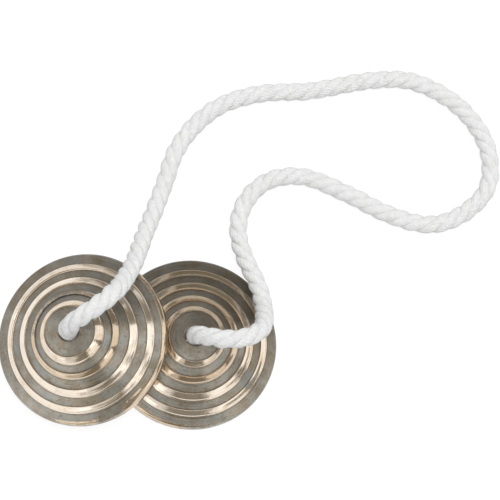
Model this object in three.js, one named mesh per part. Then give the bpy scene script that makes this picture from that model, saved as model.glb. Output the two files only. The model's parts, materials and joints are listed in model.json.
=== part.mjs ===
// A pair of manjira: two small cast bell-metal cymbals on one twisted cotton cord.
//
// Millimetres, +Z up. The pair stands on Z = 0 with its two axes in the plane Y = 0.
// The right cymbal lies flat on its rim. The left one leans on the right one's bell,
// so its own axis tips towards -X. The origin is the middle of the pair's footprint.

import * as THREE from 'three';

// Sizes of one cymbal, measured from its rim plane
const RIM_RADIUS = 30;
const HOLE_RADIUS = 3.55;
const CAP_HEIGHT = 19.0;
const CAP_THICKNESS = 3.2;
const HOLE_CHAMFER = 0.4;
const WALL = 2.7;

// Rounded lip at the rim
const LIP_WIDTH = 1.4;
const LIP_HEIGHT = 3.8;
const LIP_MIDDLE_HEIGHT = 1.9;
const RIM_EDGE_CHAMFER = 0.6;
const RIM_FLAT_WIDTH = 1.8;
const RIM_FLARE = 1.2;

// Polished rings from the rim to the cap: outer radius, width, height at the outer edge,
// and how much higher the inner edge is
const OUTER_RING_RADIUS = 26.0;
const OUTER_RING_WIDTH = 2.1;
const OUTER_RING_FOOT = 5.5;
const OUTER_RING_RISE = 0.9;
const SECOND_RING_RADIUS = 20.8;
const SECOND_RING_WIDTH = 2.3;
const SECOND_RING_FOOT = 8.0;
const SECOND_RING_RISE = 1.2;
const THIRD_RING_RADIUS = 15.4;
const THIRD_RING_WIDTH = 1.8;
const THIRD_RING_FOOT = 12.0;
const THIRD_RING_RISE = 1.25;
const CAP_RING_RADIUS = 10.9;
const CAP_RING_WIDTH = 2.15;
const CAP_RING_FOOT = 16.4;
const CAP_RING_RISE = 1.7;
const RINGS = [
  {
    outer: OUTER_RING_RADIUS,
    width: OUTER_RING_WIDTH,
    foot: OUTER_RING_FOOT,
    rise: OUTER_RING_RISE,
  },
  {
    outer: SECOND_RING_RADIUS,
    width: SECOND_RING_WIDTH,
    foot: SECOND_RING_FOOT,
    rise: SECOND_RING_RISE,
  },
  {
    outer: THIRD_RING_RADIUS,
    width: THIRD_RING_WIDTH,
    foot: THIRD_RING_FOOT,
    rise: THIRD_RING_RISE,
  },
  {
    outer: CAP_RING_RADIUS,
    width: CAP_RING_WIDTH,
    foot: CAP_RING_FOOT,
    rise: CAP_RING_RISE,
  },
];
const RING_STEP = 0.35;
const RING_EDGE = 0.2;

// How the pair lies
const PAIR_SPACING = 37.7;
const SEAT_CLEARANCE = 0.3;

// Cotton cord, and the same cord pulled tight in its knots
const CORD_DIAMETER = 6.5;
const KNOT_CORD_DIAMETER = 4.0;
const KNOT_DROP = 8.0;
const KNOT_TAIL = 8;
const CORD_GAP = 0.3;
const CORD_END_DEPTH = 1.0;

// Fineness of the faceted surfaces
const LATHE_SEGMENTS = 72;
const LIP_STEPS = 4;
const CORD_SIDES = 10;
const CORD_STEPS = 80;
const KNOT_SIDES = 8;
const KNOT_STEPS = 56;

// Proportions of an overhand knot, in cord diameters: the ring that it winds round,
// how far the cord swings in and out of that ring, and how far up and down
const KNOT_RING = 1.25;
const KNOT_SWING = 0.55;
const KNOT_RISE = 0.6;

// The same knot's winding: turns round the ring and swings through it per circuit, the part
// of the circuit that the cord runs, and how the tail leaves it, in mm
const KNOT_TURNS = 2;
const KNOT_SWINGS = 3;
const KNOT_START_DEGREES = 300;
const KNOT_POINT_DEGREES = 12;
const KNOT_TAIL_BEND = { out: 0.3, share: 0.45, up: 0.9 };
const KNOT_TAIL_END = { out: 0.2, up: 0.5 };

// Fineness of the search for the left cymbal's tilt
const EDGE_POINT_DEGREES = 2.5;
const TILT_HALVINGS = 40;

const bronze = new THREE.MeshStandardMaterial({ color: 0x9c8262, roughness: 0.38, metalness: 1 });
const cotton = new THREE.MeshStandardMaterial({ color: 0xf1efec, roughness: 0.95, metalness: 0 });

const point = (radius, height) => new THREE.Vector2(radius, height);

// Upper side of a cymbal, from the hole out to the rim flat
function upperProfile() {
  const points = [
    point(HOLE_RADIUS, CAP_HEIGHT - HOLE_CHAMFER),
    point(HOLE_RADIUS + HOLE_CHAMFER, CAP_HEIGHT),
  ];
  for (const ring of [...RINGS].reverse()) {
    const inner = ring.outer - ring.width;
    const top = ring.foot + ring.rise;
    points.push(
      point(inner, top - RING_STEP),
      point(inner + RING_EDGE, top),
      point(ring.outer - RING_EDGE, ring.foot),
      point(ring.outer, ring.foot - RING_STEP),
    );
  }
  const lipHeight = LIP_HEIGHT - LIP_MIDDLE_HEIGHT;
  for (let i = 0; i <= LIP_STEPS; i++) {
    const angle = (Math.PI / 2) * (1 - i / LIP_STEPS);
    points.push(point(
      RIM_RADIUS - LIP_WIDTH + LIP_WIDTH * Math.cos(angle),
      LIP_MIDDLE_HEIGHT + lipHeight * Math.sin(angle),
    ));
  }
  points.push(
    point(RIM_RADIUS, RIM_EDGE_CHAMFER),
    point(RIM_RADIUS - RIM_EDGE_CHAMFER, 0),
  );
  return points;
}

// Underside of a cymbal, from the rim flat in to the hole: the dark bands' level,
// moved inwards by the wall
function underProfile() {
  const level = [point(RIM_RADIUS - LIP_WIDTH, LIP_HEIGHT)];
  for (const ring of RINGS) {
    level.push(point(ring.outer, ring.foot - RING_STEP));
    level.push(point(ring.outer - ring.width, ring.foot + ring.rise - RING_STEP));
  }
  level.push(point(HOLE_RADIUS, CAP_HEIGHT));

  const flatInner = RIM_RADIUS - RIM_EDGE_CHAMFER - RIM_FLAT_WIDTH;
  const points = [point(flatInner, 0), point(flatInner - RIM_FLARE / 2, RIM_FLARE)];
  for (let i = 1; i < level.length - 1; i++) {
    const along = level[i + 1].clone().sub(level[i - 1]).normalize();
    points.push(point(level[i].x - along.y * WALL, level[i].y + along.x * WALL));
  }
  const ceiling = CAP_HEIGHT - CAP_THICKNESS;
  points.push(
    point(HOLE_RADIUS + HOLE_CHAMFER, ceiling),
    point(HOLE_RADIUS, ceiling + HOLE_CHAMFER),
  );
  return points;
}

const upper = upperProfile();
const under = underProfile();

function cymbalGeometry() {
  const profile = [...under, ...upper, under[0].clone()].reverse();
  const geometry = new THREE.LatheGeometry(profile, LATHE_SEGMENTS);
  geometry.rotateX(Math.PI / 2);
  return geometry;
}

// Height that a cymbal tipped by this angle stands above the table, so that its rim touches it
function standingHeight(tilt) {
  const drops = upper.map((p) => p.x * Math.sin(tilt) - p.y * Math.cos(tilt));
  return Math.max(...drops);
}

// Distance of a point in the half plane (radius, height) from the upper side of a flat
// cymbal, negative below it
function distanceToUpper(radius, height) {
  let nearest = Infinity;
  let surface = -Infinity;
  for (let i = 0; i < upper.length - 1; i++) {
    const a = upper[i];
    const b = upper[i + 1];
    const segment = new THREE.Line3(
      new THREE.Vector3(a.x, a.y, 0),
      new THREE.Vector3(b.x, b.y, 0),
    );
    const place = new THREE.Vector3(radius, height, 0);
    nearest = Math.min(nearest, segment.closestPointToPoint(place, true, new THREE.Vector3())
      .distanceTo(place));
    if (radius >= a.x && radius <= b.x && b.x > a.x) {
      surface = a.y + ((b.y - a.y) * (radius - a.x)) / (b.x - a.x);
    }
  }
  return height < surface ? -nearest : nearest;
}

// Least distance between the tipped cymbal's rim and the flat one under it
function rimClearance(tilt) {
  const rim = [upper[upper.length - 1], under[0], under[1], under[2]];
  const height = standingHeight(tilt);
  let least = Infinity;
  for (const edge of rim) {
    for (let degrees = 0; degrees <= 90; degrees += EDGE_POINT_DEGREES) {
      const turn = THREE.MathUtils.degToRad(degrees);
      const along = edge.x * Math.cos(turn);
      const across = edge.x * Math.sin(turn);
      const x = along * Math.cos(tilt) - edge.y * Math.sin(tilt) - PAIR_SPACING;
      const z = height + along * Math.sin(tilt) + edge.y * Math.cos(tilt);
      const radius = Math.hypot(x, across);
      if (radius < RIM_RADIUS + RIM_EDGE_CHAMFER) {
        least = Math.min(least, distanceToUpper(radius, z));
      }
    }
  }
  return least;
}

// Smallest tilt at which the left cymbal rests on the right one
function restingTilt() {
  let low = 0;
  let high = Math.PI / 4;
  for (let i = 0; i < TILT_HALVINGS; i++) {
    const middle = (low + high) / 2;
    if (rimClearance(middle) < SEAT_CLEARANCE) low = middle;
    else high = middle;
  }
  return high;
}

const leftTilt = restingTilt();
const leftHeight = standingHeight(leftTilt);

// Leftmost reach of the tipped cymbal from its own rim centre
const leftReach = Math.max(
  ...upper.map((p) => p.x * Math.cos(leftTilt) + p.y * Math.sin(leftTilt)),
);
const rightX = (PAIR_SPACING + leftReach - RIM_RADIUS) / 2;
const leftX = rightX - PAIR_SPACING;

// Frames of the two cymbals: rim centre at the origin, +Z along the cymbal's axis
const leftFrame = new THREE.Group();
leftFrame.position.set(leftX, 0, leftHeight);
leftFrame.rotation.y = -leftTilt;
leftFrame.updateMatrixWorld();

const rightFrame = new THREE.Group();
rightFrame.position.set(rightX, 0, 0);
rightFrame.updateMatrixWorld();

function roundSection(diameter, sides) {
  const corners = [];
  for (let i = 0; i < sides; i++) {
    const angle = (2 * Math.PI * i) / sides;
    corners.push(new THREE.Vector2(
      (diameter / 2) * Math.cos(angle),
      (diameter / 2) * Math.sin(angle),
    ));
  }
  return new THREE.Shape(corners);
}

function tube(points, diameter, sides, steps) {
  const route = new THREE.CatmullRomCurve3(points, false, 'centripetal');
  return new THREE.ExtrudeGeometry(roundSection(diameter, sides), {
    steps,
    extrudePath: route,
    bevelEnabled: false,
  });
}

// The cord runs a little way through each hole, so its ends lie just under the caps
const cordEndHeight = CAP_HEIGHT - CAP_THICKNESS - CORD_END_DEPTH;

// Overhand knot under the cap, in a cymbal's own frame. The cord comes down the axis
// through the ring that the knot forms, winds round that ring while it swings in and out
// of it, and leaves as a short tail beside the knot.
function knotPoints() {
  const ring = KNOT_RING * KNOT_CORD_DIAMETER;
  const swing = KNOT_SWING * KNOT_CORD_DIAMETER;
  const rise = KNOT_RISE * KNOT_CORD_DIAMETER;
  const middle = cordEndHeight - CORD_GAP - KNOT_DROP + rise;
  const points = [
    new THREE.Vector3(0, 0, cordEndHeight - CORD_GAP),
    new THREE.Vector3(0, 0, cordEndHeight - CORD_GAP - KNOT_CORD_DIAMETER / 2),
  ];
  for (let degrees = KNOT_START_DEGREES; degrees >= 0; degrees -= KNOT_POINT_DEGREES) {
    const u = THREE.MathUtils.degToRad(degrees);
    const radius = ring + swing * Math.cos(KNOT_SWINGS * u);
    points.push(new THREE.Vector3(
      radius * Math.cos(KNOT_TURNS * u),
      radius * Math.sin(KNOT_TURNS * u),
      middle - rise * Math.sin(KNOT_SWINGS * u),
    ));
  }
  const side = ring + swing;
  points.push(
    new THREE.Vector3(
      side + KNOT_TAIL_BEND.out,
      -KNOT_TAIL * KNOT_TAIL_BEND.share,
      middle + KNOT_TAIL_BEND.up,
    ),
    new THREE.Vector3(side + KNOT_TAIL_END.out, -KNOT_TAIL, middle + KNOT_TAIL_END.up),
  );
  return points;
}

function addMesh(parent, name, geometry, material) {
  const mesh = new THREE.Mesh(geometry, material);
  mesh.name = name;
  parent.add(mesh);
  return mesh;
}

// Free cord from the left hole to the right one, between its straight stretches through
// the holes: over the left bell and rim, round a wide loop on the table, and back over the
// right rim
const CORD_ROUTE = [
  [-25.3, 0.1, 29.4],
  [-24.8, 0.4, 32.9],
  [-22.8, 1.6, 37.2],
  [-19.1, 3.7, 40.1],
  [-14.6, 6.8, 40.8],
  [-10.0, 11.2, 38.3],
  [-5.5, 18.5, 28.0],
  [-1.8, 26.8, 19.5],
  [1.6, 36.8, 12.1],
  [5.6, 47.2, 6.7],
  [9.9, 59.0, 3.9],
  [13.7, 69.8, 3.3],
  [20.1, 78.9, 3.3],
  [30.0, 87.0, 3.3],
  [45.0, 91.8, 3.3],
  [62.5, 93.0, 3.3],
  [84.8, 97.3, 3.3],
  [98.5, 97.6, 3.3],
  [110.5, 92.9, 3.3],
  [121.0, 84.0, 3.3],
  [127.4, 71.5, 3.3],
  [126.7, 58.0, 3.3],
  [118.0, 48.2, 3.3],
  [105.5, 43.6, 3.3],
  [90.5, 47.0, 3.3],
  [74.0, 55.2, 3.3],
  [58.5, 60.9, 3.3],
  [46.0, 58.8, 3.3],
  [37.8, 50.4, 3.3],
  [35.5, 40.6, 3.4],
  [37.7, 30.3, 4.6],
  [41.4, 21.4, 6.5],
  [43.1, 12.6, 10.6],
  [40.4, 1.0, 24.8],
  [34.3, -2.6, 29.0],
  [28.3, -3.2, 29.6],
  [23.1, -2.2, 27.7],
  [20.0, -1.0, 24.3],
];

function cordPoints() {
  const ends = (frame) => [
    new THREE.Vector3(0, 0, cordEndHeight).applyMatrix4(frame.matrixWorld),
    new THREE.Vector3(0, 0, CAP_HEIGHT).applyMatrix4(frame.matrixWorld),
  ];
  return [
    ...ends(leftFrame),
    ...CORD_ROUTE.map(([x, y, z]) => new THREE.Vector3(x, y, z)),
    ...ends(rightFrame).reverse(),
  ];
}

const manjira = new THREE.Group();
manjira.add(leftFrame, rightFrame);

addMesh(leftFrame, 'cymbal_left', cymbalGeometry(), bronze);
addMesh(rightFrame, 'cymbal_right', cymbalGeometry(), bronze);
const knot = () => tube(knotPoints(), KNOT_CORD_DIAMETER, KNOT_SIDES, KNOT_STEPS);
addMesh(leftFrame, 'knot_left', knot(), cotton);
addMesh(rightFrame, 'knot_right', knot(), cotton);
addMesh(manjira, 'cord', tube(cordPoints(), CORD_DIAMETER, CORD_SIDES, CORD_STEPS), cotton);

export default manjira;
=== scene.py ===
"""A pair of manjira: two turned bell-metal cymbals on one twisted cotton cord."""

import json
import math

import bpy
import numpy as np
from mathutils import Matrix, Vector


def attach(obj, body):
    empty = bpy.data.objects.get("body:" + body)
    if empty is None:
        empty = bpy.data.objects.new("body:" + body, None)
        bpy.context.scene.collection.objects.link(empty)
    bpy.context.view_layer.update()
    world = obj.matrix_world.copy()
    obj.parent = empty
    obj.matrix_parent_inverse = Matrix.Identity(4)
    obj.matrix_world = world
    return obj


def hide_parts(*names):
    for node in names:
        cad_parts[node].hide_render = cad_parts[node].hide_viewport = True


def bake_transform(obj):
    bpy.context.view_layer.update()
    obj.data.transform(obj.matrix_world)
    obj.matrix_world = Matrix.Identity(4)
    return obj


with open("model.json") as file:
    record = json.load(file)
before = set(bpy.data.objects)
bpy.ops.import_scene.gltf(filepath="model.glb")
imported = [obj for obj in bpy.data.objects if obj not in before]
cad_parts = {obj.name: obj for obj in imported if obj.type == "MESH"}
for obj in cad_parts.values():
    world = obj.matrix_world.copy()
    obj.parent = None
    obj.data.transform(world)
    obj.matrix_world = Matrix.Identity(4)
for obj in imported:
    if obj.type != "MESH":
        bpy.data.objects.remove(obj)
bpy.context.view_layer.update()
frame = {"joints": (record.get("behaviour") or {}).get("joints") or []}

MM = 0.001

# One cymbal in mm, in its own frame: rim plane at height 0, Z along its axis
RIM_RADIUS = 30.0
HOLE_RADIUS = 3.55
CAP_HEIGHT = 19.0
CAP_THICKNESS = 3.2
HOLE_CHAMFER = 0.4
WALL = 2.7
LIP_WIDTH = 1.4
LIP_HEIGHT = 3.8
LIP_MIDDLE_HEIGHT = 1.9
RIM_EDGE_CHAMFER = 0.6
RIM_FLAT_WIDTH = 1.8
RIM_FLARE = 1.2

# Polished rings from the rim to the cap: outer radius, width, height at the outer edge,
# how much higher the inner edge is, and how bright the polish still is
RINGS = (
    dict(outer=26.0, width=2.1, foot=5.5, rise=0.9, polish=1.0),
    dict(outer=20.8, width=2.3, foot=8.0, rise=1.2, polish=1.0),
    dict(outer=15.4, width=1.8, foot=12.0, rise=1.25, polish=0.74),
    dict(outer=10.9, width=2.15, foot=16.4, rise=1.7, polish=0.90),
)

# Step at a ring's two edges, width of each edge, how far the ring is crowned, and how far a
# band sags, in mm
RING_STEP = 0.35
RING_EDGE = 0.2
RING_CROWN = 0.045
BAND_SAG = 0.06

# Polish of the lip, the hole and the rim's flat. That of a ring's two edges is a share of
# the ring's own.
LIP_POLISH = 0.50
HOLE_EDGE_POLISH = 0.75
HOLE_POLISH = 0.5
CEILING_EDGE_POLISH = 0.4
RIM_FLAT_POLISH = 0.8
RIM_FLARE_POLISH = 0.3
RING_INNER_EDGE_SHARE = 0.5
RING_OUTER_EDGE_SHARE = 0.4

# Finish of each cymbal. past: how far the polish runs past each ring's inner and outer edge
# in mm, from the rim's ring to the cap's. shift: how far the polish sits off the ring
# towards shift_side. shade_dulling: how much of each ring's polish is taken away on the
# shaded side, as painted shade. lip and lip_swing: how polished the lip is, and how much more
# on its worn side. side_shade: how dark the shaded side is painted, as painted shade. The
# sides are degrees round the axis. strokes: arcs where the polishing wheel took more or
# missed, as radius and width in mm, first and last degree, and change of polish.
FINISH = {
    "left": dict(past=((0.0, 0.05), (0.0, 0.1), (0.0, 0.1), (0.05, 0.25)),
                 shift=(0.35, 0.3, 0.1, 0.15), shift_side=-50,
                 shade_dulling=(0.0, 0.0, 0.40, 0.05), lip=0.33, lip_swing=0.10, worn_side=-30,
                 side_shade=0.85, shaded_side=110,
                 strokes=(
                     (29.3, 0.9, 302, 385, 0.40), (28.0, 0.5, 305, 321, 0.75),
                     (27.7, 0.12, 296, 312, 0.45), (29.2, 0.7, 252, 279, 0.26),
                     (29.3, 0.6, 30, 62, 0.20), (22.4, 0.10, 300, 330, 0.40),
                     (24.95, 0.12, 283, 306, -0.70), (19.6, 0.12, 284, 303, -0.70),
                 )),
    "right": dict(past=((0.0, 0.2), (0.2, 0.3), (0.3, 0.3), (0.0, -0.2)),
                  shift=(0.2, 0.2, 0.1, 0.0), shift_side=-70,
                  shade_dulling=(0.12, 0.12, 0.15, 0.22), lip=0.22, lip_swing=0.20, worn_side=-110,
                  side_shade=1.3, shaded_side=90,
                  strokes=(
                      (25.05, 0.30, 297, 345, -1.00), (25.0, 1.30, 319, 325, -0.95),
                      (19.9, 0.22, 306, 354, -0.85), (20.5, 0.12, 318, 336, -0.60),
                      (28.2, 0.14, 286, 318, 0.65), (27.5, 0.11, 300, 334, 0.55),
                      (23.2, 0.12, 300, 322, 0.60), (29.3, 0.6, 222, 262, 0.30),
                      (22.3, 0.12, 20, 70, 0.35), (17.2, 0.10, 30, 95, 0.30),
                  )),
}

# Softness in mm of a ring's polish at its edges, fade at a stroke's ends, and width in mm of
# the grime and painted shade along a ring's edges
POLISH_SOFTNESS = 0.10
STROKE_FADE_DEGREES = 1.5
GRIME_AND_SHADE_WIDTH = 0.28

# The cord and its knots, in mm. A knot's ring, swing and rise, and the place of its tail's
# bend along the tail, are shares: of its cord's diameter, and of the tail.
CORD_DIAMETER = 6.5
CORD_LAY = 16.2
CORD_END_DEPTH = 1.0
CORD_GAP = 0.3
KNOT_CORD_DIAMETER = 4.0
KNOT_CORD_LAY = 11.5
KNOT_DROP = 8.0
KNOT_TAIL = 8.0
KNOT_RING = 1.25
KNOT_SWING = 0.55
KNOT_RISE = 0.6
KNOT_TURNS = 2
KNOT_SWINGS = 3
KNOT_START_DEGREES = 300
KNOT_POINT_DEGREES = 12
KNOT_TAIL_BEND = dict(out=0.3, share=0.45, up=0.9)
KNOT_TAIL_END = dict(out=0.2, up=0.5)

# Free cord from the left hole to the right one, in mm
CORD_ROUTE = (
    (-25.3, 0.1, 29.4),
    (-24.8, 0.4, 32.9),
    (-22.8, 1.6, 37.2),
    (-19.1, 3.7, 40.1),
    (-14.6, 6.8, 40.8),
    (-10.0, 11.2, 38.3),
    (-5.5, 18.5, 28.0),
    (-1.8, 26.8, 19.5),
    (1.6, 36.8, 12.1),
    (5.6, 47.2, 6.7),
    (9.9, 59.0, 3.9),
    (13.7, 69.8, 3.3),
    (20.1, 78.9, 3.3),
    (30.0, 87.0, 3.3),
    (45.0, 91.8, 3.3),
    (62.5, 93.0, 3.3),
    (84.8, 97.3, 3.3),
    (98.5, 97.6, 3.3),
    (110.5, 92.9, 3.3),
    (121.0, 84.0, 3.3),
    (127.4, 71.5, 3.3),
    (126.7, 58.0, 3.3),
    (118.0, 48.2, 3.3),
    (105.5, 43.6, 3.3),
    (90.5, 47.0, 3.3),
    (74.0, 55.2, 3.3),
    (58.5, 60.9, 3.3),
    (46.0, 58.8, 3.3),
    (37.8, 50.4, 3.3),
    (35.5, 40.6, 3.4),
    (37.7, 30.3, 4.6),
    (41.4, 21.4, 6.5),
    (43.1, 12.6, 10.6),
    (40.4, 1.0, 24.8),
    (34.3, -2.6, 29.0),
    (28.3, -3.2, 29.6),
    (23.1, -2.2, 27.7),
    (20.0, -1.0, 24.3),
)

# Camera: degrees, metres, and a lens in mm on a 36 mm sensor
CAMERA_ELEVATION = 75.606
CAMERA_AZIMUTH = -26.395
CAMERA_ROLL = 26.077
CAMERA_DISTANCE = 0.72689
CAMERA_TARGET = (0.040034, 0.034481, 0.0)
CAMERA_LENS = 146.84
SENSOR_WIDTH = 36.0
CAMERA_NEAREST = 0.01
CAMERA_FARTHEST = 20.0


# Camera

def photograph_camera():
    """Camera that looks at the target from an azimuth and elevation, rolled about its view."""
    elevation, azimuth, roll = (
        math.radians(v) for v in (CAMERA_ELEVATION, CAMERA_AZIMUTH, CAMERA_ROLL)
    )
    back = Vector((
        math.cos(elevation) * math.sin(azimuth),
        -math.cos(elevation) * math.cos(azimuth),
        math.sin(elevation),
    ))
    level = Vector((math.cos(azimuth), math.sin(azimuth), 0.0))
    rise = back.cross(level)
    right = math.cos(roll) * level + math.sin(roll) * rise
    up = back.cross(right)
    place = Vector(CAMERA_TARGET) + back * CAMERA_DISTANCE

    data = bpy.data.cameras.new("photograph")
    data.lens = CAMERA_LENS
    data.sensor_width = SENSOR_WIDTH
    data.clip_start = CAMERA_NEAREST
    data.clip_end = CAMERA_FARTHEST
    camera = bpy.data.objects.new("photograph", data)
    bpy.context.scene.collection.objects.link(camera)
    camera.matrix_world = Matrix((
        (right.x, up.x, back.x, place.x),
        (right.y, up.y, back.y, place.y),
        (right.z, up.z, back.z, place.z),
        (0.0, 0.0, 0.0, 1.0),
    ))
    bpy.context.scene.camera = camera


# Frames of the two cymbals, from the joints that they spin on

JOINTS = {joint["name"]: joint for joint in frame["joints"]}


def cymbal_frame(joint_name):
    """Own frame of a cymbal: its origin in mm and its three axes as rows. Z is the spin axis,
    and X is Y crossed with it."""
    joint = JOINTS[joint_name]
    axis = np.array(joint["axis"], float)
    axis /= np.linalg.norm(axis)
    across = np.cross((0.0, 1.0, 0.0), axis)
    across /= np.linalg.norm(across)
    return np.array(joint["pos_m"], float) / MM, np.array((across, np.cross(axis, across), axis))


def placed(points, own_frame):
    """Points of a cymbal's own frame in the row frame: origin + x X + y Y + z Z."""
    origin, axes = own_frame
    return origin + np.asarray(points, float) @ axes


LEFT = cymbal_frame("left_spin")
RIGHT = cymbal_frame("right_spin")


# Surfaces

def grid_object(name, points, close_rows):
    """Mesh over a grid of points in mm. Its columns run round and meet; its rows meet too,
    or the first and the last row are closed with a face each. The faces are turned outwards
    by the sign of the volume, the sum of a . (b x c) over the triangles. The UV map counts
    columns round and rows along."""
    rows, columns = points.shape[:2]
    row, column = np.meshgrid(
        np.arange(rows if close_rows else rows - 1), np.arange(columns), indexing="ij"
    )
    row, column = row.ravel(), column.ravel()
    after, beside = (row + 1) % rows, (column + 1) % columns
    quads = np.stack((
        row * columns + column,
        row * columns + beside,
        after * columns + beside,
        after * columns + column,
    ), axis=1)
    flat = points.reshape(-1, 3)
    a, b, c, d = (flat[quads[:, k]] for k in range(4))
    volume = np.sum(a * np.cross(b, c)) + np.sum(a * np.cross(c, d))
    u = np.stack((column, column + 1, column + 1, column), axis=1) / columns
    v = np.stack((row, row, row + 1, row + 1), axis=1) / rows
    first, last = np.arange(columns)[::-1], (rows - 1) * columns + np.arange(columns)
    if volume < 0:
        quads, u, v = quads[:, ::-1], u[:, ::-1], v[:, ::-1]
        first, last = first[::-1], last[::-1]
    faces = quads.tolist()
    if not close_rows:
        faces += [first.tolist(), last.tolist()]

    mesh = bpy.data.meshes.new(name)
    mesh.from_pydata((flat * MM).tolist(), [], faces)
    mesh.polygons.foreach_set("use_smooth", np.ones(len(faces), bool))
    uv = np.zeros((len(mesh.loops), 2))
    uv[: quads.size, 0] = u.ravel()
    uv[: quads.size, 1] = v.ravel()
    mesh.uv_layers.new(name="UVMap").data.foreach_set("uv", uv.ravel())
    mesh.update()
    obj = bpy.data.objects.new(name, mesh)
    bpy.context.scene.collection.objects.link(obj)
    return obj


def add_attribute(obj, name, kind, values):
    """Values at the mesh's points, as FLOAT or FLOAT_VECTOR."""
    layer = obj.data.attributes.new(name, kind, "POINT")
    layer.data.foreach_set("value" if kind == "FLOAT" else "vector", np.ravel(values))


def arc_lengths(points):
    """Length along a line up to each of its points."""
    steps = np.linalg.norm(np.diff(points, axis=0), axis=1)
    return np.concatenate(((0.0,), np.cumsum(steps)))


def along(points, lengths, places):
    """Points, or any columns of values, at these lengths along a line, by interpolation."""
    return np.stack([np.interp(places, lengths, column) for column in points.T], axis=1)


# Cymbals

SAMPLE_STEP = 0.02
LIP_SAMPLES = 90
CORNER_SOFTNESS = 0.09
LATHE_SEGMENTS = 288
LONGEST_STEP = 0.55
TURN_PER_STEP = math.radians(4.5)


def bowed(start, end, bow):
    """Points from start to end, bowed out to their left by a parabola of this height."""
    start, end = np.array(start, float), np.array(end, float)
    length = np.linalg.norm(end - start)
    t = np.arange(0.0, 1.0, min(0.5, SAMPLE_STEP / length))[:, None]
    out = np.array((start[1] - end[1], end[0] - start[0])) / length
    return start + (end - start) * t + out * bow * 4 * t * (1 - t)


def cymbal_outline():
    """Closed section of a cymbal as (radius, height) points with the polish of each: the
    upper side from the hole to the rim, then the underside back to the hole."""
    pieces, polish = [], []

    def run(start, end, bow=0.0, shine=0.0):
        piece = bowed(start, end, bow)
        pieces.append(piece)
        polish.append(np.full(len(piece), shine))
        return end

    hole_edge = (HOLE_RADIUS, CAP_HEIGHT - HOLE_CHAMFER)
    at = run(hole_edge, (HOLE_RADIUS + HOLE_CHAMFER, CAP_HEIGHT), shine=HOLE_EDGE_POLISH)
    for ring in reversed(RINGS):
        inner, top = ring["outer"] - ring["width"], ring["foot"] + ring["rise"]
        polished = ring["polish"]
        at = run(at, (inner, top - RING_STEP), -BAND_SAG)
        at = run(at, (inner + RING_EDGE, top), shine=polished * RING_INNER_EDGE_SHARE)
        at = run(at, (ring["outer"] - RING_EDGE, ring["foot"]), RING_CROWN, polished)
        foot = (ring["outer"], ring["foot"] - RING_STEP)
        at = run(at, foot, shine=polished * RING_OUTER_EDGE_SHARE)
    lip_top = (RIM_RADIUS - LIP_WIDTH, LIP_HEIGHT)
    at = run(at, lip_top, -BAND_SAG)
    angle = np.linspace(math.pi / 2, 0.0, LIP_SAMPLES)
    lip = np.stack((
        lip_top[0] + LIP_WIDTH * np.cos(angle),
        LIP_MIDDLE_HEIGHT + (LIP_HEIGHT - LIP_MIDDLE_HEIGHT) * np.sin(angle),
    ), axis=1)
    pieces.append(lip)
    polish.append(np.full(len(lip), LIP_POLISH))
    at = run((RIM_RADIUS, LIP_MIDDLE_HEIGHT), (RIM_RADIUS, RIM_EDGE_CHAMFER), shine=LIP_POLISH)
    at = run(at, (RIM_RADIUS - RIM_EDGE_CHAMFER, 0.0), shine=LIP_POLISH)
    flat_end = (RIM_RADIUS - RIM_EDGE_CHAMFER - RIM_FLAT_WIDTH, 0.0)
    at = run(at, flat_end, shine=RIM_FLAT_POLISH)
    at = run(at, (at[0] - RIM_FLARE / 2, RIM_FLARE), shine=RIM_FLARE_POLISH)

    level = [np.array((RIM_RADIUS - LIP_WIDTH, LIP_HEIGHT))]
    for ring in RINGS:
        level.append(np.array((ring["outer"], ring["foot"] - RING_STEP)))
        level.append(np.array((
            ring["outer"] - ring["width"], ring["foot"] + ring["rise"] - RING_STEP,
        )))
    level.append(np.array((HOLE_RADIUS, CAP_HEIGHT)))
    for before, here, after in zip(level, level[1:], level[2:]):
        way = (after - before) / np.linalg.norm(after - before)
        at = run(at, (here[0] - way[1] * WALL, here[1] + way[0] * WALL))
    ceiling = CAP_HEIGHT - CAP_THICKNESS
    at = run(at, (HOLE_RADIUS + HOLE_CHAMFER, ceiling))
    at = run(at, (HOLE_RADIUS, ceiling + HOLE_CHAMFER), shine=CEILING_EDGE_POLISH)
    run(at, hole_edge, shine=HOLE_POLISH)
    return np.concatenate(pieces), np.concatenate(polish)


def softened(values, spacing, softness):
    """Closed run of values blurred with a bell curve of this width, as a product of spectra."""
    rate = np.fft.rfftfreq(len(values), spacing)
    blur = np.exp(-2 * (math.pi * softness * rate) ** 2)
    return np.fft.irfft(np.fft.rfft(values, axis=0) * blur[:, None], len(values), axis=0)


def cymbal_section():
    """The outline with its corners rounded, on rows that lie closer where it turns: equal
    steps of length / longest step + angle turned / angle per step."""
    outline, polish = cymbal_outline()
    closed = np.vstack((outline, outline[:1]))
    lengths = arc_lengths(closed)
    count = int(lengths[-1] / SAMPLE_STEP)
    places = np.arange(count) * lengths[-1] / count
    columns = np.column_stack((closed, np.append(polish, polish[0])))
    spacing = lengths[-1] / count
    even = along(columns, lengths, places)
    even = softened(even, spacing, CORNER_SOFTNESS)

    ring = np.vstack((even, even[:1]))
    way = np.diff(ring[:, :2], axis=0)
    heading = np.unwrap(np.arctan2(way[:, 1], way[:, 0]))
    turned = np.abs(np.diff(heading, append=heading[-1]))
    cost = np.hypot(way[:, 0], way[:, 1]) / LONGEST_STEP + turned / TURN_PER_STEP
    total = np.concatenate(((0.0,), np.cumsum(cost)))
    rows = int(math.ceil(total[-1]))
    length = np.append(places, lengths[-1])
    table = np.column_stack((ring, length))
    return along(table, total, np.arange(rows) * total[-1] / rows)


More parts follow.
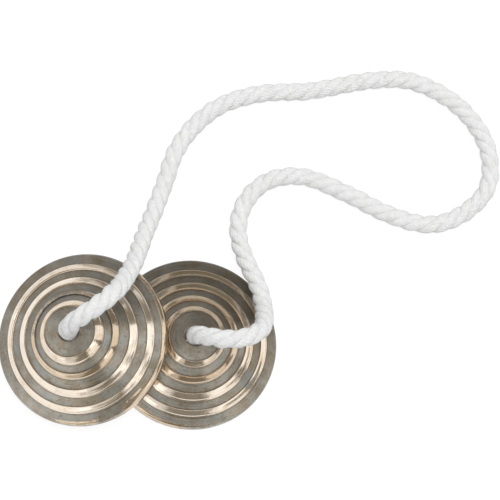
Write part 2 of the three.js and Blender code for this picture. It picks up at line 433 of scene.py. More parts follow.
def ring_finish(radius, angle, polish, finish):
    """Polish, painted shade and grime over the upper side. A ring's polish is a soft box from
    its inner to its outer edge and past them, moved outwards by shift cos(t - shift side),
    less its shade dulling times (1 + cos(t - shaded side)) / 2, painted shade that dims the
    rings on one side. The painted shade of that side is this same share times its strength.
    The lip has a cosine of its own. A stroke is a bell curve of the radius that thins out at
    its two ends. Grime with painted shade is a bell curve on each edge of a ring."""
    # Share of painted shade round the axis: full on the shaded side, none on the far side
    shade_share = (1 + np.cos(angle - math.radians(finish["shaded_side"]))) / 2
    edge_grime_and_shade = np.zeros_like(radius)
    lean = np.cos(angle - math.radians(finish["shift_side"]))
    for ring, (inwards, outwards), shift, shade_dulling in zip(
        RINGS, finish["past"], finish["shift"], finish["shade_dulling"]
    ):
        inner = ring["outer"] - ring["width"] - inwards + shift * lean
        outer = ring["outer"] + outwards + shift * lean
        past_inner = np.tanh((radius - inner) / POLISH_SOFTNESS)
        past_outer = np.tanh((radius - outer) / POLISH_SOFTNESS)
        box = (past_inner - past_outer) / 2
        on_ring = (radius > inner - RING_STEP) & (radius < outer + RING_STEP)
        # Rings dimmed towards the shaded side, as painted shade
        ring_polish = np.maximum(polish, ring["polish"] * box) * (1 - shade_dulling * shade_share)
        polish = np.where(on_ring, ring_polish, polish)
        # Grime with painted shade along each ring's step
        for edge in (inner - GRIME_AND_SHADE_WIDTH / 2, outer + GRIME_AND_SHADE_WIDTH / 2):
            edge_grime_and_shade = np.maximum(edge_grime_and_shade, np.exp(-((radius - edge) / GRIME_AND_SHADE_WIDTH) ** 2))
    worn = np.cos(angle - math.radians(finish["worn_side"]))
    lip = finish["lip"] + finish["lip_swing"] * worn
    polish = np.where(radius > RIM_RADIUS - LIP_WIDTH, lip, polish)
    for middle, width, first, last, change in finish["strokes"]:
        off = np.abs((np.degrees(angle) - (first + last) / 2 + 180) % 360 - 180)
        reach = 1 / (1 + np.exp((off - (last - first) / 2) / STROKE_FADE_DEGREES))
        polish = polish + change * reach * np.exp(-((radius - middle) / width) ** 2)
    return np.clip(polish, 0.0, 1.0), shade_share * finish["side_shade"], edge_grime_and_shade


def cymbal(name, own_frame, finish):
    """Section (r, h) turned about the axis: x = r cos t, y = r sin t, z = h."""
    section = cymbal_section()
    angle = (np.arange(LATHE_SEGMENTS) * 2 * math.pi / LATHE_SEGMENTS)[None, :]
    cos, sin = np.cos(angle), np.sin(angle)
    radius, height, polish, length = (section[:, k, None] for k in range(4))
    ones, rows = np.ones_like(cos), np.ones_like(radius)
    own = np.stack((radius * cos, radius * sin, height * ones), axis=2)
    obj = grid_object(name, placed(own, own_frame), close_rows=True)
    upper, side_shade, edge_grime_and_shade = ring_finish(radius * ones, angle * rows, polish * ones, finish)
    is_upper = (length < length[np.argmin(height)]) * ones > 0
    add_attribute(obj, "polish", "FLOAT", np.where(is_upper, upper, polish * ones))
    # Painted shade on one side of the cymbal
    add_attribute(obj, "side_shade", "FLOAT", side_shade)
    # Grime with painted shade along the ring steps, on the upper side only
    add_attribute(obj, "edge_grime_and_shade", "FLOAT", np.where(is_upper, edge_grime_and_shade, 0.0))
    turned = np.stack((cos * rows, sin * rows, length * ones), axis=2)
    add_attribute(obj, "turned", "FLOAT_VECTOR", turned)
    return obj


# Cord

PATH_SAMPLES = 40


def smooth_route(points):
    """Centripetal Catmull-Rom curve through the points: on each span a cubic whose end slopes
    weigh the neighbouring spans by the square roots of their lengths."""
    points = np.array(points, float)
    points = np.vstack((2 * points[0] - points[1], points, 2 * points[-1] - points[-2]))
    gap = np.sqrt(np.linalg.norm(np.diff(points, axis=0), axis=1))[:, None]
    p0, p1, p2, p3 = points[:-3], points[1:-2], points[2:-1], points[3:]
    g0, g1, g2 = gap[:-2], gap[1:-1], gap[2:]
    slope1 = ((p1 - p0) / g0 - (p2 - p0) / (g0 + g1) + (p2 - p1) / g1) * g1
    slope2 = ((p2 - p1) / g1 - (p3 - p1) / (g1 + g2) + (p3 - p2) / g2) * g1
    t = (np.arange(PATH_SAMPLES) / PATH_SAMPLES)[None, :, None]
    p1, p2, slope1, slope2 = (v[:, None, :] for v in (p1, p2, slope1, slope2))
    curve = (
        p1 + slope1 * t
        + (3 * (p2 - p1) - 2 * slope1 - slope2) * t ** 2
        + (2 * (p1 - p2) + slope1 + slope2) * t ** 3
    )
    return np.vstack((curve.reshape(-1, 3), points[-2:-1]))


def route_frames(points, reference):
    """Directions along and across an evenly spaced line: the second is the reference direction
    made square to the first, then turned back by its own summed twist, so neither spins."""
    way = np.gradient(points, axis=0)
    way /= np.linalg.norm(way, axis=1)[:, None]
    side = reference - way * (way @ reference)[:, None]
    side /= np.linalg.norm(side, axis=1)[:, None]
    third = np.cross(way, side)
    twist = np.sum(np.gradient(side, axis=0) * third, axis=1)
    back = -np.cumsum(twist)[:, None]
    cos, sin = np.cos(back), np.sin(back)
    return way, side * cos + third * sin, third * cos - side * sin


# Strands of a cord. As shares of the cord's diameter: a strand's radius, the step between
# its rows, and the length over which its end closes. The flattening is towards the cord's
# middle. A strand's turn wavers by so many radians and its thickness by such a share, in
# sines of these wavelengths in mm.
STRANDS = 3
STRAND_SHARE = 0.292
STRAND_SIDES = 20
STRAND_STEP = 0.0504
STRAND_END = 0.35
STRAND_CLOSING = 0.8
STRAND_FLATTENING = 0.35
TURN_WAVER = 0.05
SWELL_WAVER = 0.03
SWELL_SEED = 10
WAVER_SINES = 6
WAVER_LENGTHS = (4.0, 23.0)

# Direction from which the strands' turn is counted
LAY_REFERENCE = np.array((0.55, -0.35, 0.76))
LAY_REFERENCE /= np.linalg.norm(LAY_REFERENCE)


def wavering(places, size, seed):
    """Slow unevenness along a length: a few sines with seeded phases, of this size in all."""
    random = np.random.default_rng(seed)
    wavelength = random.uniform(*WAVER_LENGTHS, WAVER_SINES)
    phase = random.uniform(0.0, 2 * math.pi, WAVER_SINES)
    waves = np.sin(2 * math.pi * places[:, None] / wavelength + phase)
    return size * waves.sum(axis=1) / math.sqrt(WAVER_SINES)


def twisted_cord(name, route, diameter, lay, seed):
    """Three strands laid round the route: strand centre = route + h (side cos a + third sin a),
    with a falling by a full turn per lay, and a round section, flatter inwards, about it."""
    lengths = arc_lengths(route)
    count = int(lengths[-1] / (STRAND_STEP * diameter))
    places = np.linspace(0.0, lengths[-1], count)
    path = along(route, lengths, places)
    way, side, third = route_frames(path, LAY_REFERENCE)
    radius = STRAND_SHARE * diameter
    offset = diameter / 2 - radius

    spread = 2 * math.pi * (np.arange(STRAND_SIDES) + 0.5) / STRAND_SIDES
    spread = spread - STRAND_FLATTENING * np.sin(spread)
    spread = (spread + math.pi)[None, :, None]
    parts = []
    for strand in range(STRANDS):
        turn = 2 * math.pi * (strand / STRANDS - places / lay)
        turn = (turn + wavering(places, TURN_WAVER, seed + strand))[:, None]
        out = side * np.cos(turn) + third * np.sin(turn)
        swell = 1 + wavering(places, SWELL_WAVER, seed + SWELL_SEED + strand)
        centre = path + out * offset
        run = np.gradient(centre, axis=0)
        run /= np.linalg.norm(run, axis=1)[:, None]
        out = out - run * np.sum(out * run, axis=1)[:, None]
        out /= np.linalg.norm(out, axis=1)[:, None]
        across = np.cross(run, out)
        from_end = np.minimum(places, places[-1] - places) / (STRAND_END * diameter)
        swell = swell * np.sqrt(1 - STRAND_CLOSING * (1 - np.clip(from_end, 0.0, 1.0)) ** 2)
        ring = (
            out[:, None, :] * np.cos(spread) + across[:, None, :] * np.sin(spread)
        ) * (radius * swell)[:, None, None]
        parts.append(centre[:, None, :] + ring)
    return join_strands(name, parts, places), path


def join_strands(name, parts, places):
    """One object of the strands, with the length along the cord in mm as the attribute laid."""
    objects = []
    for number, points in enumerate(parts):
        obj = grid_object(f"{name}_{number}", points, close_rows=False)
        add_attribute(obj, "laid", "FLOAT", np.repeat(places, points.shape[1]))
        objects.append(obj)
    with bpy.context.temp_override(
        active_object=objects[0], selected_editable_objects=objects, selected_objects=objects
    ):
        bpy.ops.object.join()
    objects[0].name = name
    objects[0].data.name = name
    return objects[0]


# Loose hairs of the cords, in mm and radians, and the tufts at the cut ends. A hair's root is
# a share of its strand's radius, and a tuft's radius and root are shares of the cord's
# diameter.
FIBRE_RADIUS = 0.021
FIBRE_LEVELS = 5
FIBRE_SIDES = 3
FIBRE_ARCH = 0.8
FIBRE_TAPER = 0.7
FIBRE_ROOT = 0.93
FIBRE_SPREAD = 1.7
FIBRE_LEAN = 1.0
FIBRE_REACH = (0.5, 1.9)
FIBRE_LIFT = (0.12, 0.55)
CORD_FIBRES = 5200
KNOT_FIBRES = 500
TUFT_FIBRES = 260
TUFT_REACH = (0.8, 2.4)
TUFT_LIFT = (-0.35, 0.35)
TUFT_FLARE = 0.5
TUFT_RADIUS_SHARE = 0.4
TUFT_ROOT_SHARE = 0.125
FRAME_STEP = 0.5

# Seeds of what is random in the cord, and in the knots and their hairs
CORD_SEED = 1
CORD_FIBRE_SEED = 5
KNOT_SEEDS = {"left": 40, "right": 60}


def hairs(name, start, heading, out, reach, lift):
    """Thin three-sided hairs. At the share s of its length, a hair's line is at
    start + s reach heading + lift sin(0.8 pi s) out, and it tapers towards its tip."""
    count = len(start)
    level = (np.arange(FIBRE_LEVELS) / (FIBRE_LEVELS - 1))[None, :, None]
    line = (
        start[:, None, :] + heading[:, None, :] * (reach[:, None, None] * level)
        + out[:, None, :] * (lift[:, None, None] * np.sin(level * math.pi * FIBRE_ARCH))
    )
    corner = (2 * math.pi * np.arange(FIBRE_SIDES) / FIBRE_SIDES)[None, :, None]
    ring = out[:, None, :] * np.cos(corner) + np.cross(heading, out)[:, None, :] * np.sin(corner)
    thick = FIBRE_RADIUS * (1 - FIBRE_TAPER * level)
    points = line[:, :, None, :] + ring[:, None, :, :] * thick[:, :, None, :]

    first = (np.arange(count) * FIBRE_LEVELS * FIBRE_SIDES)[:, None, None]
    row = (np.arange(FIBRE_LEVELS - 1) * FIBRE_SIDES)[None, :, None]
    here = np.arange(FIBRE_SIDES)[None, None, :]
    beside = (here + 1) % FIBRE_SIDES
    quads = np.stack((
        first + row + here, first + row + beside,
        first + row + FIBRE_SIDES + beside, first + row + FIBRE_SIDES + here,
    ), axis=-1).reshape(-1, 4)
    corners = np.arange(FIBRE_SIDES)
    roots = first[:, :, 0] + corners[::-1]
    tips = first[:, :, 0] + (FIBRE_LEVELS - 1) * FIBRE_SIDES + corners
    mesh = bpy.data.meshes.new(name)
    mesh.from_pydata((points.reshape(-1, 3) * MM).tolist(), [],
                     quads.tolist() + roots.tolist() + tips.tolist())
    mesh.update()
    obj = bpy.data.objects.new(name, mesh)
    bpy.context.scene.collection.objects.link(obj)
    return obj


def strand_hairs(route, diameter, lay, count, random):
    """Roots, headings and outward directions of hairs that stand off the strands of a cord."""
    lengths = arc_lengths(route)
    places = np.linspace(0.0, lengths[-1], int(lengths[-1] / FRAME_STEP))
    path = along(route, lengths, places)
    way, side, third = route_frames(path, LAY_REFERENCE)
    pick = random.integers(0, len(places), count)
    path, way, side, third, places = (v[pick] for v in (path, way, side, third, places))
    radius = STRAND_SHARE * diameter
    turn = 2 * math.pi * (random.integers(0, STRANDS, count) / STRANDS - places / lay)[:, None]
    strand_out = side * np.cos(turn) + third * np.sin(turn)
    angle = random.uniform(-FIBRE_SPREAD, FIBRE_SPREAD, count)[:, None]
    out = strand_out * np.cos(angle) + np.cross(way, strand_out) * np.sin(angle)
    start = path + strand_out * (diameter / 2 - radius) + out * (radius * FIBRE_ROOT)
    lean = random.uniform(-FIBRE_LEAN, FIBRE_LEAN, count) + math.pi * random.integers(0, 2, count)
    lean = lean[:, None]
    return start, way * np.cos(lean) + np.cross(way, out) * np.sin(lean), out


def loose_fibres(name, route, diameter, lay, count, seed):
    """Short hairs that stand off a cord."""
    random = np.random.default_rng(seed)
    start, heading, out = strand_hairs(route, diameter, lay, count, random)
    return hairs(name, start, heading, out, random.uniform(*FIBRE_REACH, count),
                 random.uniform(*FIBRE_LIFT, count))


def frayed_end(name, route, diameter, seed):
    """Tuft at a cord's cut end: roots spread evenly over a disc, radius the square root of a
    random share, and hairs that run on along the cord and flare outwards."""
    random = np.random.default_rng(seed)
    way = (route[-1] - route[-2]) / np.linalg.norm(route[-1] - route[-2])
    side = np.cross(way, LAY_REFERENCE)
    side /= np.linalg.norm(side)
    angle = random.uniform(0.0, 2 * math.pi, TUFT_FIBRES)[:, None]
    out = side * np.cos(angle) + np.cross(way, side) * np.sin(angle)
    share = np.sqrt(random.random(TUFT_FIBRES))[:, None]
    root = route[-1] - way * (diameter * TUFT_ROOT_SHARE)
    start = root + out * share * (diameter * TUFT_RADIUS_SHARE)
    heading = way + out * share * TUFT_FLARE
    heading /= np.linalg.norm(heading, axis=1)[:, None]
    return hairs(name, start, heading, out, random.uniform(*TUFT_REACH, TUFT_FIBRES),
                 random.uniform(*TUFT_LIFT, TUFT_FIBRES))


CORD_END_HEIGHT = CAP_HEIGHT - CAP_THICKNESS - CORD_END_DEPTH


def cord_points():
    """The cord from just under the left cap to just under the right one."""
    ends = np.array(((0.0, 0.0, CORD_END_HEIGHT), (0.0, 0.0, CAP_HEIGHT)))
    return np.vstack((placed(ends, LEFT), CORD_ROUTE, placed(ends[::-1], RIGHT)))


def knot_points(own_frame):
    """Overhand knot in a cymbal's own frame: down the axis, then round a ring at twice the
    angle u while the radius swings as cos 3u and the height as -sin 3u, then a short tail."""
    ring, swing, rise = (v * KNOT_CORD_DIAMETER for v in (KNOT_RING, KNOT_SWING, KNOT_RISE))
    top = CORD_END_HEIGHT - CORD_GAP
    middle = top - KNOT_DROP + rise
    start = np.array(((0.0, 0.0, top), (0.0, 0.0, top - KNOT_CORD_DIAMETER / 2)))
    u = np.radians(np.arange(KNOT_START_DEGREES, -1, -KNOT_POINT_DEGREES))
    radius = ring + swing * np.cos(KNOT_SWINGS * u)
    loops = np.stack((
        radius * np.cos(KNOT_TURNS * u),
        radius * np.sin(KNOT_TURNS * u),
        middle - rise * np.sin(KNOT_SWINGS * u),
    ), axis=1)
    side = ring + swing
    tail = np.array((
        (side + KNOT_TAIL_BEND["out"], -KNOT_TAIL * KNOT_TAIL_BEND["share"],
         middle + KNOT_TAIL_BEND["up"]),
        (side + KNOT_TAIL_END["out"], -KNOT_TAIL, middle + KNOT_TAIL_END["up"]),
    ))
    return placed(np.vstack((start, loops, tail)), own_frame)


# Materials

def new_material(name):
    """Empty material with its tree, its Principled shader and a function that adds nodes."""
    material = bpy.data.materials.new(name)
    material.use_nodes = True
    tree = material.node_tree
    return material, tree, tree.nodes["Principled BSDF"], node_maker(tree)


def node_maker(tree):
    """Function that adds a node, sets its properties and fills its inputs by name or number
    with constants or with other nodes' outputs."""
    def add(kind, inputs=None, **settings):
        node = tree.nodes.new(kind)
        for key, value in settings.items():
            setattr(node, key, value)
        for key, value in (inputs or {}).items():
            if isinstance(value, bpy.types.NodeSocket):
                tree.links.new(value, node.inputs[key])
            else:
                node.inputs[key].default_value = value
        return node
    return add


def math_node(add, operation, a, b=0.0):
    """Output of a two-input Math node."""
    return add("ShaderNodeMath", {0: a, 1: b}, operation=operation).outputs[0]


def added(add, values):
    """Sum of the values."""
    total, *others = values
    for value in others:
        total = math_node(add, "ADD", total, value)
    return total


def swing(add, value, size):
    """How far a noise is from its middle value, one half, times this size."""
    return math_node(add, "MULTIPLY", math_node(add, "SUBTRACT", value, 0.5), size)


def ramp_value(add, value, low, high, to_low=0.0, to_high=1.0):
    """Value eased smoothly from to_low at low to to_high at high."""
    return add("ShaderNodeMapRange", {
        "Value": value, "From Min": low, "From Max": high, "To Min": to_low, "To Max": to_high,
    }, interpolation_type="SMOOTHSTEP").outputs["Result"]


def mix_colour(add, share, a, b):
    """Colour a turned into colour b by the share."""
    return add("ShaderNodeMix", {0: share, 6: a, 7: b}, data_type="RGBA").outputs[2]


def noise(add, vector, scale, detail, roughness):
    """Noise between about 0.3 and 0.7, at this scale of the vector."""
    return add("ShaderNodeTexNoise", {
        "Vector": vector, "Scale": scale, "Detail": detail, "Roughness": roughness,
    }).outputs["Fac"]


def coated(add, colour, masks, coats):
    """Colour under coats, one over the other. Each coat has the name of its mask, two values
    of the mask, how much it covers at each of them, and its own colour."""
    for name, low, high, at_low, at_high, coat in coats:
        cover = ramp_value(add, masks[name], low, high, at_low, at_high)
        colour = mix_colour(add, cover, colour, coat)
    return colour


def relief(add, masks, depths, strength):
    """Normal of a surface that stands up by the sum of its masks times their depths in mm."""
    parts = [math_node(add, "MULTIPLY", masks[name], depth) for name, depth in depths.items()]
    bump = add("ShaderNodeBump", {
        "Height": added(add, parts), "Distance": MM, "Strength": strength,
    })
    return bump.outputs["Normal"]


POLISHED = (0.87, 0.785, 0.685, 1.0)
POLISHED_WARM = (0.62, 0.495, 0.36, 1.0)
# Dark of the cast metal, also the colour of the painted shade on the bands
CAST_DARK_AND_SHADE = (0.095, 0.078, 0.055, 1.0)
CAST_BROWN = (0.290, 0.258, 0.204, 1.0)
CAST_GREY = (0.440, 0.436, 0.408, 1.0)
CAST_BLUE = (0.36, 0.385, 0.385, 1.0)
CAST_GOLD = (0.560, 0.430, 0.280, 1.0)
# Painted shade on the polish of the shaded side
SHADED_POLISH = (0.34, 0.27, 0.18, 1.0)

# Noises all over the metal: scale in 1/m, detail and roughness
METAL_NOISES = dict(
    clouds=(75.0, 3.0, 0.55),
    tints=(130.0, 2.0, 0.5),
    patches=(230.0, 4.0, 0.6),
    nicks=(1300.0, 2.0, 0.5),
    grain=(3600.0, 3.0, 0.65),
)

# Noises that follow the turning: scale across it in 1/mm and round it in 1/radian, detail
# and roughness
TURNED_NOISES = dict(
    grooves=(1.7, 0.35, 2.0, 0.55),
    streaks=(2.4, 2.2, 3.0, 0.6),
    marks=(9.0, 1.3, 3.0, 0.7),
    fine_marks=(34.0, 2.2, 2.0, 0.6),
)

# Where the polish ends: how much nicks and patches fray it, and the polish at which metal
# starts to shine and shines fully
NICKED_EDGE = 0.30
PATCHY_EDGE = 0.35
SHINE_RAMP = (0.36, 0.60)

# Coats on the cast bands and on the polish. The shadow coat on the bands and the coat on the
# polish are painted shade on each cymbal's shaded side; the dirt coat is dark streaks, and
# grime with painted shade along the ring steps; the other coats are the metal's own tints
# and marks
BAND_COATS = (
    ("patches", 0.28, 0.72, 0.0, 1.0, CAST_GREY),
    ("tints", 0.50, 0.66, 0.0, 0.75, CAST_BLUE),
    ("clouds", 0.52, 0.70, 0.0, 0.24, CAST_GOLD),
    ("streaks", 0.48, 0.68, 0.0, 0.50, CAST_GOLD),
    # Painted shade on the shaded side
    ("shadow", 0.0, 1.0, 0.0, 0.62, CAST_DARK_AND_SHADE),
    ("grain", 0.46, 0.30, 0.0, 0.45, CAST_DARK_AND_SHADE),
    ("nicks", 0.42, 0.30, 0.0, 0.45, CAST_DARK_AND_SHADE),
    ("marks", 0.44, 0.28, 0.0, 0.50, CAST_DARK_AND_SHADE),
    # Dark streaks, and grime with painted shade along the ring steps
    ("dirt_and_edge_shade", 0.75, 1.6, 0.0, 0.48, CAST_DARK_AND_SHADE),
)
POLISH_COATS = (
    # Painted shade on the polish of the shaded side
    ("side_shade", 0.85, 1.3, 0.0, 0.45, SHADED_POLISH),
)
CLOUDED_SHADOW = 1.4

# What makes the polish look warm: masks, two values of each, and the warmth at both
WARMTH = (
    ("patches", 0.48, 0.68, 0.0, 0.40),
    ("polish", 0.75, 1.0, 0.80, 0.0),
    ("streaks", 0.50, 0.70, 0.0, 0.35),
)

# Ramps of how metallic and how rough the metal is
METALLIC_RAMP = (0.0, 0.7, 0.88, 1.0)
BAND_ROUGHNESS = (0.3, 0.7, 0.28, 0.42)
POLISH_ROUGHNESS = (0.35, 0.7, 0.07, 0.16)
ANISOTROPY = 0.6
ANISOTROPY_TURN = 0.25

METAL_RELIEF = dict(
    cast_grain=0.030, cast_ridges=0.20, patches=0.020, nicks=0.008,
    grooves=0.050, marks=0.010, fine_marks=0.004, shine=0.02,
)


def turned_noise(add, turned, across, sweep, detail, roughness):
    """Noise on the turned section, with one scale across the turning and one round it."""
    place = add("ShaderNodeVectorMath", {0: turned, 1: (sweep, sweep, across)},
                operation="MULTIPLY").outputs[0]
    return noise(add, place, 1.0, detail, roughness)


def bell_metal():
    """Bell metal turned on a lathe: bright rings and lip, and cast bands left dull between
    them. The cymbal's attributes say how polished each place is, and where it lies on the
    turned section, so that tool marks run round it."""
    material, tree, shader, add = new_material("bell_metal")
    where = add("ShaderNodeTexCoord").outputs["Object"]
    turned = add("ShaderNodeAttribute", attribute_name="turned").outputs["Vector"]
    masks = {name: noise(add, where, *values) for name, values in METAL_NOISES.items()}
    for name, values in TURNED_NOISES.items():
        masks[name] = turned_noise(add, turned, *values)
    for name in ("polish", "side_shade", "edge_grime_and_shade"):
        masks[name] = add("ShaderNodeAttribute", attribute_name=name).outputs["Fac"]
    # Painted shade on each cymbal's shaded side, broken up by clouds
    masks["shadow"] = added(add, (masks["side_shade"], swing(add, masks["clouds"], CLOUDED_SHADOW)))
    # Dark streaks, and grime with painted shade along the ring steps
    masks["dirt_and_edge_shade"] = added(add, (masks["edge_grime_and_shade"], masks["streaks"]))

    frayed = added(add, (
        swing(add, masks["nicks"], NICKED_EDGE), swing(add, masks["patches"], PATCHY_EDGE),
        masks["polish"],
    ))
    shine = ramp_value(add, frayed, *SHINE_RAMP)
    band = coated(add, CAST_BROWN, masks, BAND_COATS)
    warmth = added(add, [ramp_value(add, masks[name], *ramp) for name, *ramp in WARMTH])
    bright = mix_colour(add, warmth, POLISHED, POLISHED_WARM)
    bright = coated(add, bright, masks, POLISH_COATS)
    tree.links.new(mix_colour(add, shine, band, bright), shader.inputs["Base Color"])
    tree.links.new(ramp_value(add, shine, *METALLIC_RAMP), shader.inputs["Metallic"])

    rough = add("ShaderNodeMix", {
        0: shine,
        2: ramp_value(add, masks["grain"], *BAND_ROUGHNESS),
        3: ramp_value(add, masks["marks"], *POLISH_ROUGHNESS),
    }, data_type="FLOAT")
    tree.links.new(rough.outputs[0], shader.inputs["Roughness"])
    shader.inputs["Anisotropic"].default_value = ANISOTROPY
    shader.inputs["Anisotropic Rotation"].default_value = ANISOTROPY_TURN
    round_axis = add("ShaderNodeTangent", direction_type="UV_MAP", uv_map="UVMap")
    tree.links.new(round_axis.outputs[0], shader.inputs["Tangent"])

    cast = math_node(add, "SUBTRACT", 1.0, shine)
    masks["cast_grain"] = math_node(add, "MULTIPLY", masks["grain"], cast)
    masks["cast_ridges"] = math_node(add, "MULTIPLY", masks["grooves"], cast)
    masks["shine"] = shine
    tree.links.new(relief(add, masks, METAL_RELIEF, 1.0), shader.inputs["Normal"])
    return material


COTTON_DIM = (0.87, 0.87, 0.865, 1.0)
COTTON_WHITE = (0.96, 0.96, 0.955, 1.0)
COTTON_CREAM = (0.90, 0.89, 0.865, 1.0)
COTTON_GREY = (0.74, 0.74, 0.73, 1.0)
# Painted shade where the cord turns away from the view
COTTON_EDGE_SHADE = (0.66, 0.66, 0.65, 1.0)
# Painted shade in the furrows between the strands
COTTON_FURROW_SHADE = (0.60, 0.60, 0.59, 1.0)
HAIR_DIM = (0.90, 0.90, 0.89, 1.0)
HAIR_WHITE = (0.97, 0.97, 0.965, 1.0)

# Yarns over each strand, their turns per mm of the cord, and the fibres of the yarns: scale
# round the strand, scale along it, and their noise
YARNS = 11
YARN_TURN = 0.128
FIBRES_ROUND = 4.5
FIBRES_ALONG = 0.45
FIBRE_NOISE = (2.2, 3.0, 0.65)

# Noises all over the cotton: scale in 1/m, detail and roughness
COTTON_NOISES = dict(
    patches=(140.0, 2.0, 0.5),
    mottle=(560.0, 3.0, 0.6),
    fluff=(2600.0, 3.0, 0.7),
)
HAIR_NOISE = (900.0, 2.0, 0.5)

COTTON_COATS = (
    ("fibres", 0.35, 0.65, 0.0, 1.0, COTTON_WHITE),
    ("patches", 0.4, 0.7, 0.0, 0.4, COTTON_CREAM),
    ("mottle", 0.38, 0.58, 0.30, 0.0, COTTON_GREY),
    # Painted shade where the cord turns away from the view
    ("turned_away_shade", 0.45, 0.95, 0.0, 0.50, COTTON_EDGE_SHADE),
    # Painted shade in the furrows between the strands
    ("inwards", 0.15, 0.30, 0.0, 0.55, COTTON_FURROW_SHADE),
)
HAIR_COATS = (
    ("shade", 0.35, 0.65, 0.0, 1.0, HAIR_WHITE),
)
COTTON_RELIEF = dict(yarn=0.060, fibres=0.25, fluff=0.10, mottle=0.35)
COTTON_RELIEF_STRENGTH = 0.9

# Constant inputs of the two cotton shaders
COTTON_SURFACE = {
    "Roughness": 0.95, "Specular IOR Level": 0.15, "Sheen Weight": 0.15, "Sheen Roughness": 0.6,
}
HAIR_SURFACE = {"Roughness": 0.9, "Specular IOR Level": 0.2}


def cotton():
    """Soft white cotton: fine yarns that run over each strand against its lay, loose fibres,
    and a faint painted shade in the furrows and where the cord turns away."""
    material, tree, shader, add = new_material("cotton")
    where = add("ShaderNodeTexCoord").outputs["Object"]
    uv = add("ShaderNodeSeparateXYZ", {0: add("ShaderNodeUVMap", uv_map="UVMap").outputs[0]})
    laid = add("ShaderNodeAttribute", attribute_name="laid").outputs["Fac"]
    turn = math_node(add, "SUBTRACT", uv.outputs[0], math_node(add, "MULTIPLY", laid, YARN_TURN))
    round_turn = math_node(add, "MULTIPLY", turn, 2 * math.pi)
    fibre_place = add("ShaderNodeCombineXYZ", {
        0: math_node(add, "MULTIPLY", math_node(add, "COSINE", round_turn), FIBRES_ROUND),
        1: math_node(add, "MULTIPLY", math_node(add, "SINE", round_turn), FIBRES_ROUND),
        2: math_node(add, "MULTIPLY", laid, FIBRES_ALONG),
    }).outputs[0]
    masks = {name: noise(add, where, *values) for name, values in COTTON_NOISES.items()}
    masks["fibres"] = noise(add, fibre_place, *FIBRE_NOISE)
    masks["yarn"] = math_node(add, "SINE", math_node(add, "MULTIPLY", turn, 2 * math.pi * YARNS))
    # Painted shade at grazing angles
    masks["turned_away_shade"] = add("ShaderNodeLayerWeight").outputs["Facing"]
    # Painted shade towards the furrows between the strands
    masks["inwards"] = math_node(add, "ABSOLUTE", math_node(add, "SUBTRACT", uv.outputs[0], 0.5))

    tree.links.new(coated(add, COTTON_DIM, masks, COTTON_COATS), shader.inputs["Base Color"])
    for name, value in COTTON_SURFACE.items():
        shader.inputs[name].default_value = value
    tree.links.new(
        relief(add, masks, COTTON_RELIEF, COTTON_RELIEF_STRENGTH), shader.inputs["Normal"]
    )
    return material


def cotton_fibres():
    """Single loose cotton hairs, a little brighter than the yarn that they leave."""
    material, tree, shader, add = new_material("cotton_fibres")
    where = add("ShaderNodeTexCoord").outputs["Object"]
    masks = {"shade": noise(add, where, *HAIR_NOISE)}
    tree.links.new(coated(add, HAIR_DIM, masks, HAIR_COATS), shader.inputs["Base Color"])
    for name, value in HAIR_SURFACE.items():
        shader.inputs[name].default_value = value
    return material


# Stage, in metres

FLOOR_RADIUS = 4.0
FLOOR_SIDES = 96
FLOOR_DROP = 0.00005
FLOOR_SEEN = 0.22
FLOOR_LIFT = 0.85
FLOOR_WHITE = 0.80
WHITE = (1.0, 1.0, 1.0, 1.0)


def white_floor():
    """Large round floor. It lights the object from below as a white floor does. For the camera
    and mirrored or refracted rays it is a grey that takes the shadow, lifted to white."""
    angle = np.arange(FLOOR_SIDES) * 2 * math.pi / FLOOR_SIDES
    rim = np.stack((
        FLOOR_RADIUS * np.cos(angle), FLOOR_RADIUS * np.sin(angle),
        np.full(FLOOR_SIDES, -FLOOR_DROP),
    ), axis=1)
    mesh = bpy.data.meshes.new("floor")
    mesh.from_pydata(rim.tolist(), [], [list(range(FLOOR_SIDES))])
    floor = bpy.data.objects.new("floor", mesh)
    bpy.context.scene.collection.objects.link(floor)

    material = bpy.data.materials.new("floor")
    material.use_nodes = True
    tree = material.node_tree
    tree.nodes.remove(tree.nodes["Principled BSDF"])
    add = node_maker(tree)
    seen = seen_rays(add)
    lift = add("ShaderNodeEmission", {
        "Color": WHITE, "Strength": math_node(add, "MULTIPLY", seen, FLOOR_LIFT),
    })
    shade = add("ShaderNodeMapRange", {"Value": seen, "To Min": FLOOR_WHITE, "To Max": FLOOR_SEEN})
    matte = add("ShaderNodeBsdfDiffuse", {"Color": shade.outputs["Result"]})
    both = add("ShaderNodeAddShader", {0: lift.outputs[0], 1: matte.outputs[0]})
    tree.links.new(both.outputs[0], tree.nodes["Material Output"].inputs["Surface"])
    mesh.materials.append(material)


def seen_rays(add):
    """1 for camera, mirrored and refracted rays."""
    path = add("ShaderNodeLightPath").outputs
    some = math_node(add, "MAXIMUM", path["Is Camera Ray"], path["Is Glossy Ray"])
    return math_node(add, "MAXIMUM", some, path["Is Transmission Ray"])


# Colours of the room, and how high the backdrop is seen in the metal, as the sine of the
# elevation where it starts to fade and where it ends
ROOM_MIRRORED = (0.265, 0.242, 0.205, 1.0)
ROOM_LIGHT = (0.575, 0.58, 0.58, 1.0)
BACKDROP_FADE = (0.010, 0.025)


